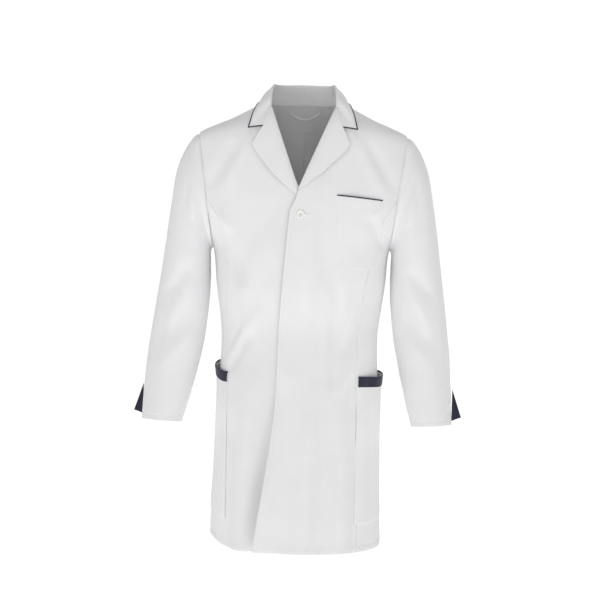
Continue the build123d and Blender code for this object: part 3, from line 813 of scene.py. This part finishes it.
def build_backs():
    across, down = spaced(BACK_ACROSS, FINE, FINE), down_shares(180, 180)
    for side, sign in SIDES:
        share, depth = np.meshgrid(across, down)
        top_x = share * SHOULDER[0]
        top_z = np.minimum(ridge_z(top_x), NECK_Z)
        z = top_z + (HEM_Z - top_z) * depth
        bend = np.full_like(z, PRINCESS_TOP_Z)
        low_x = at_turn(side_turn(bend) * share, bend, True)[..., 0]
        x = top_x + (low_x - top_x) * np.clip((top_z - z) / (top_z - PRINCESS_TOP_Z), 0, 1)
        above = back_at(x, z)
        below = at_turn(side_turn(z) * share, z, True)
        points = np.where((z >= PRINCESS_TOP_Z)[..., None], above, below)
        points[..., 0] *= sign
        rise = folds(points) + edge_rise(points, left="seam", right="seam", foot="hem")
        made = laid(f"{side}_back_cloth", points, rise, WHITE)
        place_piece(made, "coat_body", "white_cloth", f"{side}_back")


def build_vent_flap():
    share, depth = np.meshgrid(spaced(VENT_FLAP, FINE, ()), spaced(VENT_DOWN, (), FINE))
    x, z = -VENT_WIDTH + VENT_FLAP * share, VENT_Z + (HEM_Z + 4 - VENT_Z) * depth
    points = back_at(x, z)
    flap = laid("back_vent_cloth", points, folds(points) - CLOTH - 1.0, FACING)
    place_piece(flap, "coat_body", "white_cloth", "back_vent_flap")


def front_strip(left, right, top_z, foot_z, across, down, out):
    """Points of a strip behind the fronts, between two lines, and its rise."""
    share, depth = np.meshgrid(across, down)
    z = top_z + (foot_z - top_z) * depth
    x = left(z) * (1 - share) + right(z) * share
    points = front_at(x, z)
    return points, folds(points) + out


def build_facings():
    across, down = spaced(FLY_ACROSS, (1, 2), (1, 2), 4.0), spaced(FLY_DOWN, (), (), 5.0)
    points, rise = front_strip(
        lambda z: left_edge(z) + 3, lambda z: left_edge(z) + OVERLAP - 2,
        TOP_BUTTON_Z + 16, HEM_Z + 8, across, down, FLY_LIFT + CLOTH)
    rise += edge_flare(points, FLY_FLARE)
    fly = laid("fly_cloth", points, rise, FACING, THIN_CLOTH)
    place_piece(fly, "left_front", "white_facing", "fly_strip")
    points, rise = front_strip(
        lambda z: left_edge(z) + 4, lambda z: right_edge(z) - 1,
        TOP_BUTTON_Z + 6, HEM_Z + 4, across, down, -CLOTH - 0.6)
    rise -= under_hollow(points[..., 0], points[..., 2])
    facing = laid("front_facing_cloth", points, rise, FACING, THIN_CLOTH)
    place_piece(facing, "right_front", "white_facing", "right_front_facing")


# ---- lapels and collar
def build_lapels():
    across = spaced(LAPEL_ACROSS, (0.8, 1.8, 3.0, 4.5, 6.5, 9.0), FINE[:9], 3.0)
    for side, sign in SIDES:
        heights = np.array([z for z, _ in LAPEL_EDGE[side]])
        edges = np.array([x for _, x in LAPEL_EDGE[side]])
        rows = np.concatenate([np.arange(heights[-1] + 2, ROLL_TOP[0], 2.5), heights[1:-1]])
        share, z = np.meshgrid(across, np.unique(rows)[::-1])
        outer = np.interp(z, heights[::-1], edges[::-1])
        inner = np.minimum(roll_x(z, sign), outer - 0.5)
        x = inner + (outer - inner) * share
        points = front_at(x, z)
        outward = form_normal(points)
        width = outer - inner
        from_roll, from_edge = share * width, (1 - share) * width
        lift = overlap_lift(x) if side == "left" else 0.0
        puff = 5.5 * (1 - np.exp(-from_roll / 6.0)) * (0.9 + 0.1 * ease(from_edge / 45))
        stitched = -0.5 * bump(from_edge, 0.9) - 0.4 * bump(from_edge - 6.0, 0.9)
        points = raised(points, outward, 1.0 + lift + puff + ripples(points, 60, 21) * 0.5)
        points = raised(points, outward, stitched)
        points[..., 0] *= sign
        outward[..., 0] *= sign
        made = cloth(f"{side}_lapel_cloth", points, outward, WHITE)
        bend_at_fold(made, side, "white_cloth", f"{side}_lapel")


def collar_profile(seam, roll, edge, front):
    """Points of the collar's cloth from its seam up the stand, over the roll and down the fall.

    front is 1 at the collar's ends, where the fall's edge is straight down to the notch, and 0 elsewhere.
    """
    out = np.array([roll[0], roll[1], 0.0])
    out /= np.linalg.norm(out)
    up = np.array([0.0, 0.0, 1.0])
    inside = roll - up * 3.0
    over = roll + out * 3.0 + up * 1.0
    shoulder = roll + out * 6.5 - up * 3.5
    middle = (shoulder + edge) / 2 + out * 3.0 + up * 2.0
    knots = np.array([seam, (seam + inside) / 2 + out * 1.0, inside, over, shoulder, middle, edge])
    read = smooth_through([(k, *point) for k, point in enumerate(knots)])
    across = np.concatenate([np.linspace(0, 2, 8)[:-1], np.linspace(2, 4, 12)[:-1], np.linspace(4, 6, 25)])
    line = read(across)
    fall = np.clip((across - 4) / 2, 0, 1)
    straight = shoulder[2] + (edge[2] - shoulder[2]) * fall
    notch = np.interp(fall, [0.0, 0.16, 1.0], [shoulder[2], edge[2] + 3.0, edge[2]])
    line[:, 2] += front * np.where(across > 4, notch - straight, 0.0)
    return line


def form_height(points):
    """The height of the form's surface straight under or over some points."""
    heights = np.linspace(-160.0, 8.0, 420)
    half, front, back = np.moveaxis(body(heights), -1, 0)
    x, y = np.abs(points[..., 0:1]), points[..., 1:2]
    depth = np.where(y < 0, front, back)
    inside = (x / half) ** SQUARENESS + (np.abs(y) / depth) ** SQUARENESS <= 1.0
    last = inside.shape[-1] - 1 - np.argmax(inside[..., ::-1], axis=-1)
    return np.where(inside.any(-1), heights[last], -999.0)


def build_collar():
    lines = []
    for left in COLLAR_LINES:
        rows = [(share, -x, y, z) for share, (x, y, z) in zip(COLLAR_SHARES, left)]
        rows += [(1 - share, x, y, z) for share, (x, y, z) in zip(COLLAR_SHARES[:-1], left)]
        lines.append(smooth_through(rows))
    profiles = []
    for station in np.linspace(0, 1, COLLAR_STATIONS):
        front = max(0.0, (abs(station - 0.5) - 0.40) / 0.10) ** 2
        seam, roll, edge = (line(station) for line in lines)
        profiles.append(collar_profile(seam, roll, edge, front))
    points = np.array(profiles)
    lay_fall(points[:, FALL_COLUMN:])
    outward = grid_normal(points)
    if outward[COLLAR_STATIONS // 2, -8] @ np.array([0.0, 1.0, 0.4]) < 0:
        outward = -outward
    made = cloth("collar_cloth", points, outward, WHITE, COLLAR_CLOTH)
    place_piece(made, "coat_body", "white_cloth", "collar_stand", "collar_fall")
    edge = [points[0, PIPED_COLUMN:-1], points[:, -1], points[-1, -2:PIPED_COLUMN - 1:-1]]
    cord = tube("collar_piping_cord", evenly(np.concatenate(edge), 2.0), PIPING / 2, NAVY)
    place_piece(cord, "coat_body", "navy_trim", "collar_piping")


def lay_fall(fall):
    """Moves the points of the collar's fall onto the coat, forward before the neck and up elsewhere."""
    skin = front_at(fall[..., 0], fall[..., 2])[..., 1] - 5.0
    low = ease((-fall[..., 2] - 14) / 12) * (fall[..., 1] < 0)
    fall[..., 1] += (np.minimum(fall[..., 1], skin) - fall[..., 1]) * low
    floor = form_height(fall) + 4.5
    over = np.maximum(fall[..., 2], floor)
    gap = np.minimum(np.abs(fall[..., 2] - floor) / 6.0, 1.0)
    fall[..., 2] = over + 0.9 * (1 - gap) ** 2


def build_neck_inside():
    """The back neck's facing, and the hanger loop on it."""
    share, depth = np.meshgrid(spaced(116, FINE, FINE), spaced(60, (), FINE))
    x, z = -58 + 116 * share, -10 - 60 * depth
    points = back_at(x, z)
    facing = laid("neck_facing_cloth", points, folds(points) - CLOTH - 0.8, FACING, THIN_CLOTH)
    place_piece(facing, "coat_body", "white_facing", "neck_facing")
    along = np.linspace(-1, 1, 41)
    middle = back_at(32 * along, -26 - 14 * (1 - along**2)) - np.array([0, 8.0, 0])
    grid = np.stack([middle + np.array([0, 0, d]) for d in (-2.5, -1.5, 0, 1.5, 2.5)], 1)
    outward = np.zeros_like(grid)
    outward[..., 1] = 1.0
    loop = cloth("hanger_loop_tape", grid, outward, FACING, DOUBLE_CLOTH)
    place_piece(loop, "hanger_loop", "white_facing", "hanger_loop")


# ---- sleeves
# Each fold of a sleeve: from (section, angle), to (section, angle), its width and its height. Angles run
# from the sleeve's outer side, round its back to the underarm side at pi, and on round its front.
SLEEVE_FOLDS = [
    ((1.1, 4.9), (2.4, 4.55), 0.13, 2.6),
    ((1.0, 5.25), (2.9, 4.95), 0.12, -2.6),
    ((2.0, 5.6), (4.0, 5.2), 0.14, 2.4),
    ((4.2, 4.3), (6.0, 5.4), 0.15, -4.0),
    ((5.0, 4.1), (6.8, 5.2), 0.14, 3.2),
    ((6.1, 3.9), (7.0, 5.2), 0.14, -4.0),
    ((6.6, 3.9), (7.6, 5.3), 0.12, 2.6),
    ((5.4, 5.6), (7.2, 5.1), 0.13, -2.2),
    ((3.4, 0.7), (5.2, 1.6), 0.2, -3.0),
    ((5.6, 0.6), (6.7, 1.9), 0.16, 2.6),
]


def sleeve_points(along, round_share, sign):
    """Points of a sleeve, the direction out of it, and the section and the angle of each point."""
    station, share = np.meshgrid(along, round_share, indexing="ij")
    low_x, low_z, high_x, high_z, middle_y, half_y = np.moveaxis(sleeve_sections(station), -1, 0)
    centre = np.stack([(low_x + high_x) / 2, middle_y, (low_z + high_z) / 2], -1)
    axis = np.stack([high_x - low_x, np.zeros_like(low_x), high_z - low_z], -1)
    half = np.linalg.norm(axis, axis=-1) / 2
    axis = axis / (2 * half)[..., None]
    angle = 2 * math.pi * share
    cosine, sine = np.cos(angle), np.sin(angle)
    points = centre + axis * (half * cosine)[..., None]
    points[..., 1] += half_y * sine
    outward = axis * (cosine / half)[..., None]
    outward[..., 1] += sine / half_y
    outward /= np.linalg.norm(outward, axis=-1, keepdims=True)
    join_share = 1 - ease(station / 0.9)
    points += (armhole_ring(angle[0]) - points[0]) * join_share[..., None]
    points[..., 0] *= sign
    outward[..., 0] *= sign
    return points, outward, station, angle


def armhole_ring(angle):
    """The armhole's edge on the body, at angles round it from the shoulder's end."""
    z = (SHOULDER[1] + UNDERARM[1]) / 2 + (SHOULDER[1] - UNDERARM[1]) / 2 * np.cos(angle)
    x = armhole_x(z)
    front, back = front_at(x, z), back_at(x, z)
    ring = np.where((np.sin(angle) < 0)[..., None], front, back)
    return raised(ring, form_normal(ring), folds(ring) - 1.3)


def sleeve_folds(points, station, angle, side):
    """Folds of a sleeve: pleats under the cap, drag lines at the elbow, a soft tube below."""
    seed = 31 if side == "left" else 43
    front = ease(-np.sin(angle) + 0.2)
    rise = ripples(points, 95, seed, (1, 1, 0.7)) * 1.6 * ease((station - 1) / 2)
    rise += ripples(points, 36, seed + 1, (1, 1, 0.8)) * 0.5 * ease((station - 1) / 2)
    rise += ripples(points, 15, seed + 2) * 0.1
    for (start, turn), (end, last_turn), width, height in SLEEVE_FOLDS:
        run, swing = end - start, last_turn - turn
        share = ((station - start) * run + (angle - turn) * swing) / (run**2 + swing**2)
        share = np.clip(share, 0, 1)
        distance = np.hypot((station - start - share * run) * 0.55, angle - turn - share * swing)
        rise += height * bump(distance, width * 1.5) * ease(share * 3) * ease((1 - share) * 3)
    rise += 2.2 * bump(station - 0.35, 0.3) * front
    rise += 3.4 * bump(station - 0.35, 0.3) * ease(np.cos(angle))
    rise -= 0.8 * bump(angle - math.pi, 0.02)
    return rise * ease(station / 0.2)


def build_sleeves():
    seam_sections = [0.01, 0.02, 0.03, 0.045, 0.06, 0.08, 0.11]
    cuff_sections = [CUFF - 0.17, CUFF_STITCHING, CUFF - 0.13, CUFF - 0.02]
    along = np.concatenate([seam_sections, np.linspace(0, CUFF, 190), [SLEEVE_PARTING], cuff_sections])
    along = np.unique(along)
    round_share = np.linspace(0, 1, 110, endpoint=False)
    split = int(np.argmin(np.abs(along - SLEEVE_PARTING)))
    for side, sign in SIDES:
        points, outward, station, angle = sleeve_points(along, round_share, sign)
        rise = sleeve_folds(points, station, angle, side)
        rise -= 0.5 * bump(station - CUFF_STITCHING, 0.018)
        points = raised(points, outward, rise)
        cap = tube_cloth(f"{side}_sleeve_top_cloth", points[:split + 1], outward[:split + 1], WHITE)
        arm = tube_cloth(f"{side}_sleeve_arm_cloth", points[split:], outward[split:], WHITE)
        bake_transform(cap)
        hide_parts(f"{side}_sleeve_cap", f"{side}_sleeve_bend", f"{side}_upper_sleeve")
        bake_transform(arm)
        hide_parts(f"{side}_elbow", f"{side}_lower_sleeve")
        build_cuff(side, sign)


def build_cuff(side, sign):
    """The hem inside a cuff, and the gusset that flares from it."""
    along = np.linspace(CUFF - 0.38, CUFF - 0.012, 10)
    points, outward, _, _ = sleeve_points(along, np.linspace(0, 1, 80, endpoint=False), sign)
    inside = points - outward * (CLOTH + 0.4)
    hem = tube_cloth(f"{side}_cuff_hem_cloth", inside, outward, FACING, THIN_CLOTH)
    place_piece(hem, f"{side}_forearm", "white_facing", f"{side}_cuff_hem")
    _, _, cuff_x, cuff_z, cuff_y, _ = SLEEVE[-1]
    apex = np.array([cuff_x - 0.5, cuff_y + 10, GUSSET_TOP_Z])
    corner = np.array([cuff_x + GUSSET_FLARE, cuff_y + 14, cuff_z + 13])
    inner = np.array([cuff_x - 1.5, cuff_y + 10, cuff_z + 5])
    share, depth = np.meshgrid(np.linspace(0, 1, 9), np.linspace(0, 1, 24))
    edge_in = apex + (inner - apex) * depth[..., None]
    edge_out = apex + (corner - apex) * depth[..., None]
    points = edge_in + (edge_out - edge_in) * share[..., None]
    points[..., 1] += 5.0 * np.sin(math.pi * share) * depth
    points[..., 0] *= sign
    outward = np.zeros_like(points)
    outward[..., 1] = -1.0
    gusset = cloth(f"{side}_gusset_cloth", points, outward, NAVY, DOUBLE_CLOTH)
    place_piece(gusset, f"{side}_forearm", "navy_trim", f"{side}_cuff_gusset")


# ---- pockets
def build_chest_pocket():
    low_x, high_x = CHEST_POCKET_X
    low_z, high_z = CHEST_POCKET_Z
    across, down = spaced(CHEST_ACROSS, FINE, FINE, 3.5), spaced(CHEST_DOWN, FINE, FINE, 3.5)
    share, depth = np.meshgrid(across, down)
    x = low_x + (high_x - low_x) * share
    top = high_z - 2.0 - CHEST_POCKET_DROP * share
    z = top + (low_z - top) * depth
    points = front_at(x, z)
    outward = form_normal(points)
    slack = 0.6 + 3.2 * np.sin(math.pi * share) ** 0.7 * (1 - depth) ** 2
    rise = folds(points) + slack + ripples(points, 40, 51) * 0.35
    rise += edge_rise(points, left="patch", right="patch", foot="patch")
    rise -= 0.5 * bump((top - z) - CHEST_HEM, 1.4)
    face = raised(points, outward, rise)
    bag = cloth("chest_pocket_cloth", face, outward, WHITE)
    place_piece(bag, "coat_body", "white_cloth", "chest_pocket")
    cord = tube("chest_piping_cord", evenly(face[0] + np.array([0, 0, 0.8]), 2.0), PIPING / 2, NAVY)
    place_piece(cord, "coat_body", "navy_trim", "chest_pocket_piping")


def hip_grid(top_z, foot_z, across, down, extra, sign):
    """Points of a hip pocket between two heights, and its rise."""
    share, depth = np.meshgrid(across, down)
    z = top_z + (foot_z - top_z) * depth
    front_rise, side_rise = HIP_MOUTH_RISE[sign]
    mouth_rise = front_rise + side_rise * ease(share / 0.4) + 13.0 * ease((share - 0.25) / 0.6)
    z = z + mouth_rise * ease((z - HIP_FLOOR_Z) / 200)
    fall = np.clip((HIP_MOUTH_Z + 13 - z) / (HIP_MOUTH_Z - HIP_FLOOR_Z), 0, 1)
    front_y = front_at(HIP_FRONT_X[sign] - sign * drift(z), z)[..., 1]
    y = front_y + (HIP_BACK_Y - front_y) * share
    half, front, back = np.moveaxis(body(z), -1, 0)
    gape = HIP_GAPE[sign] * np.sin(math.pi * np.minimum(share * 1.25, 1.0))
    out = 2.0 + gape * (1 - np.minimum(1, fall * 2) ** 0.5)
    x = (half + out) * across_share(y, np.where(y < 0, front, back) + out)
    points = np.stack([sign * x, y, z], -1)
    return points, folds(points) + extra + ripples(points, 50, 61) * 0.5


def build_hip_pockets():
    across, down = spaced(HIP_ACROSS, FINE, FINE, 4.0), spaced(HIP_DOWN, (), FINE, 4.5)
    band_down = spaced(HIP_BAND, (0.5, 1.2, 2.5), (0.5, 1.2, 2.5), 3.0)
    for side, sign in SIDES:
        points, rise = hip_grid(HIP_MOUTH_Z - 4, HIP_FLOOR_Z, across, down, 0.0, sign)
        rise += edge_rise(points, left="patch", right="patch", foot="patch")
        bag = laid(f"{side}_hip_pocket_cloth", points, rise, WHITE)
        place_piece(bag, "coat_body", "white_cloth", f"{side}_hip_pocket")
        points, rise = hip_grid(HIP_MOUTH_Z, HIP_MOUTH_Z - HIP_BAND, across, band_down, 1.3, sign)
        rise += edge_rise(points, top="patch", foot="patch")
        band = laid(f"{side}_hip_band_cloth", points, rise, NAVY, DOUBLE_CLOTH)
        place_piece(band, "coat_body", "navy_trim", f"{side}_hip_pocket_band")


# ---- buttons
def button(name, centre, across, thick):
    """A four-hole button, its rim raised and its face dished, looking to the front."""
    profile = [(0.0, 0.62), (0.52, 0.62), (0.6, 0.72), (0.68, 0.95), (0.8, 1.0), (0.93, 0.9),
               (1.0, 0.6), (0.98, 0.3), (0.85, 0.0), (0.0, 0.0)]
    sides = 48
    vertices, rings = [], []
    for radius, height in profile:
        ring = []
        for k in range(sides):
            angle = 2 * math.pi * k / sides
            r = radius * across / 2
            ring.append(len(vertices))
            vertices.append((centre[0] + r * math.cos(angle), centre[1] - height * thick,
                             centre[2] + r * math.sin(angle)))
        rings.append(ring + ring[:1])
    made = new_object(name, vertices, grid_faces(np.array(rings)), RESIN, sharp=False)
    outward_first(made, weld=True)
    made.data.polygons.foreach_set("use_smooth", [True] * len(made.data.polygons))
    cutters = []
    for dx in (-HOLE_OFFSET, HOLE_OFFSET):
        for dz in (-HOLE_OFFSET, HOLE_OFFSET):
            x, z = centre[0] + dx, centre[2] + dz
            path = [(x, centre[1] - 2 * thick, z), (x, centre[1] + thick, z)]
            cutters.append(tube("cutter", path, 0.75, RESIN, 16))
    cutter = join(*cutters)
    cut = made.modifiers.new("holes", "BOOLEAN")
    cut.operation = "DIFFERENCE"
    cut.object = cutter
    with bpy.context.temp_override(object=made, active_object=made):
        bpy.ops.object.modifier_apply(modifier="holes")
    bpy.data.objects.remove(cutter)
    return made


def button_x(z):
    """Where a button sits, in the middle of the overlap."""
    return float(left_edge(z)) + OVERLAP / 2 + 3


def skin_y(x, z):
    """Depth of the right front's face at a point."""
    point = front_at(np.array([[x]], float), np.array([[z]], float))
    return float(raised(point, form_normal(point), folds(point))[0, 0, 1])


def holding_threads(x, face, z):
    """Two bars of thread through the holes of a button whose back is at face."""
    threads = []
    for dz in (-HOLE_OFFSET, HOLE_OFFSET):
        path = [(x - HOLE_OFFSET, face + 0.5, z + dz), (x - HOLE_OFFSET / 2, face - 2.0, z + dz * 0.9),
                (x + HOLE_OFFSET, face - 2.0, z + dz * 0.9), (x + HOLE_OFFSET, face + 0.5, z + dz)]
        threads.append(tube("button_thread", path, 0.35, CREAM, 6))
    return threads


def build_buttons():
    z = TOP_BUTTON_Z
    x = button_x(z)
    skin = skin_y(x, z)
    face = skin - OVERLAP_LIFT - 0.5
    top = button("top_button_resin", (x, face, z), BUTTON_D, 2.6)
    place_piece(top, "right_front", "button", "top_button")
    threads = holding_threads(x, face, z)
    threads.append(tube("button_shank", [(x, skin, z), (x, face, z)], 1.4, CREAM, 10))
    hidden = []
    for n in range(1, HIDDEN_BUTTONS + 1):
        low = z - BUTTON_PITCH * n
        place = button_x(low)
        back = skin_y(place, low) + float(under_hollow(place, low))
        hidden.append(button(f"hidden_button_{n}", (place, back - 0.2, low), HIDDEN_BUTTON_D, 1.2))
        shank = [(place, back + 0.4, low), (place, back - 0.6, low)]
        threads.append(tube("button_shank", shank, 1.4, CREAM, 10))
    placed = join(*hidden)
    placed.name = "hidden_buttons_resin"
    place_piece(placed, "right_front", "button", "hidden_buttons")
    sewn = join(*threads)
    sewn.name = "button_threads_cotton"
    place_piece(sewn, "right_front", "thread", "button_threads")
    along = np.linspace(0, 1, 20)
    hole = np.stack([x + 6.5 + 13 * along, np.full(20, face + 0.2), np.full(20, z)], -1)
    seam = tube("buttonhole_stitching", hole, 1.0, CREAM, 8)
    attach(seam, "left_front")


# ---- studio
def area_light(name, place, target, size, power, colour=(1, 1, 1)):
    """A square lamp that looks at a target."""
    lamp = bpy.data.lights.new(name, "AREA")
    lamp.size = size
    lamp.energy = power
    lamp.color = colour
    made = bpy.data.objects.new(name, lamp)
    made.location = place
    made.rotation_euler = (Vector(target) - Vector(place)).to_track_quat("-Z", "Y").to_euler()
    bpy.context.scene.collection.objects.link(made)


def build_studio():
    """A white room: the world seems brighter to the camera than it lights."""
    world = bpy.data.worlds.new("studio")
    bpy.context.scene.world = world
    world.use_nodes = True
    nodes, links = world.node_tree.nodes, world.node_tree.links
    seen = nodes.new("ShaderNodeLightPath")
    strength = nodes.new("ShaderNodeMapRange")
    strength.inputs["To Min"].default_value = WORLD_LIGHT
    strength.inputs["To Max"].default_value = WORLD_SEEN
    links.new(seen.outputs["Is Camera Ray"], strength.inputs["Value"])
    links.new(strength.outputs["Result"], nodes["Background"].inputs["Strength"])
    nodes["Background"].inputs["Color"].default_value = (1, 1, 1, 1)
    centre = (0, 0, -0.45)
    area_light("key", (-2.4, -2.7, 0.0), centre, 0.9, 12, (1.0, 0.995, 0.98))
    area_light("fill", (2.6, -2.1, -0.3), centre, 1.6, 8, (0.985, 0.99, 1.0))
    area_light("front", (0.2, -4.6, -1.2), (0, 0, -0.6), 1.2, 17)
    area_light("rim", (0.4, 2.4, 1.2), centre, 1.6, 12)
    area_light("top", (0, -0.7, 2.3), (0, 0, -0.1), 1.8, 13)
    floor_mesh = bpy.data.meshes.new("floor")
    corners = [(FLOOR_HALF * x, FLOOR_HALF * y, FLOOR_Z) for x, y in ((-1, -1), (1, -1), (1, 1), (-1, 1))]
    floor_mesh.from_pydata(corners, [], [(0, 1, 2, 3)])
    material, surface = shader("floor_white", (0.93, 0.93, 0.93), 0.9)
    surface.inputs["Emission Color"].default_value = (1, 1, 1, 1)
    surface.inputs["Emission Strength"].default_value = 0.75
    floor_mesh.materials.append(material)
    floor = bpy.data.objects.new("floor", floor_mesh)
    bpy.context.scene.collection.objects.link(floor)


def build_camera():
    """A camera before the coat, turned and rolled a little as the photograph was taken."""
    turn = math.radians(CAMERA_TURN)
    back = Vector((math.sin(turn), -math.cos(turn), 0))
    data = bpy.data.cameras.new("camera")
    data.sensor_width = 36
    data.lens = 36 * CAMERA_DISTANCE / VIEW_WIDTH
    made = bpy.data.objects.new("camera", data)
    made.location = Vector((0, 0, CAMERA_TARGET_Z)) + back * CAMERA_DISTANCE
    facing = (-back).to_track_quat("-Z", "Y").to_matrix().to_4x4()
    roll = Matrix.Rotation(math.radians(CAMERA_ROLL), 4, "Z")
    made.matrix_world = Matrix.Translation(made.location) @ facing @ roll
    bpy.context.scene.collection.objects.link(made)
    bpy.context.scene.camera = made
    bpy.context.scene.view_settings.view_transform = "Standard"


def main():
    build_fronts()
    build_sides()
    build_backs()
    build_vent_flap()
    build_facings()
    build_lapels()
    build_collar()
    build_neck_inside()
    build_sleeves()
    build_chest_pocket()
    build_hip_pockets()
    build_buttons()
    build_studio()
    build_camera()


main()
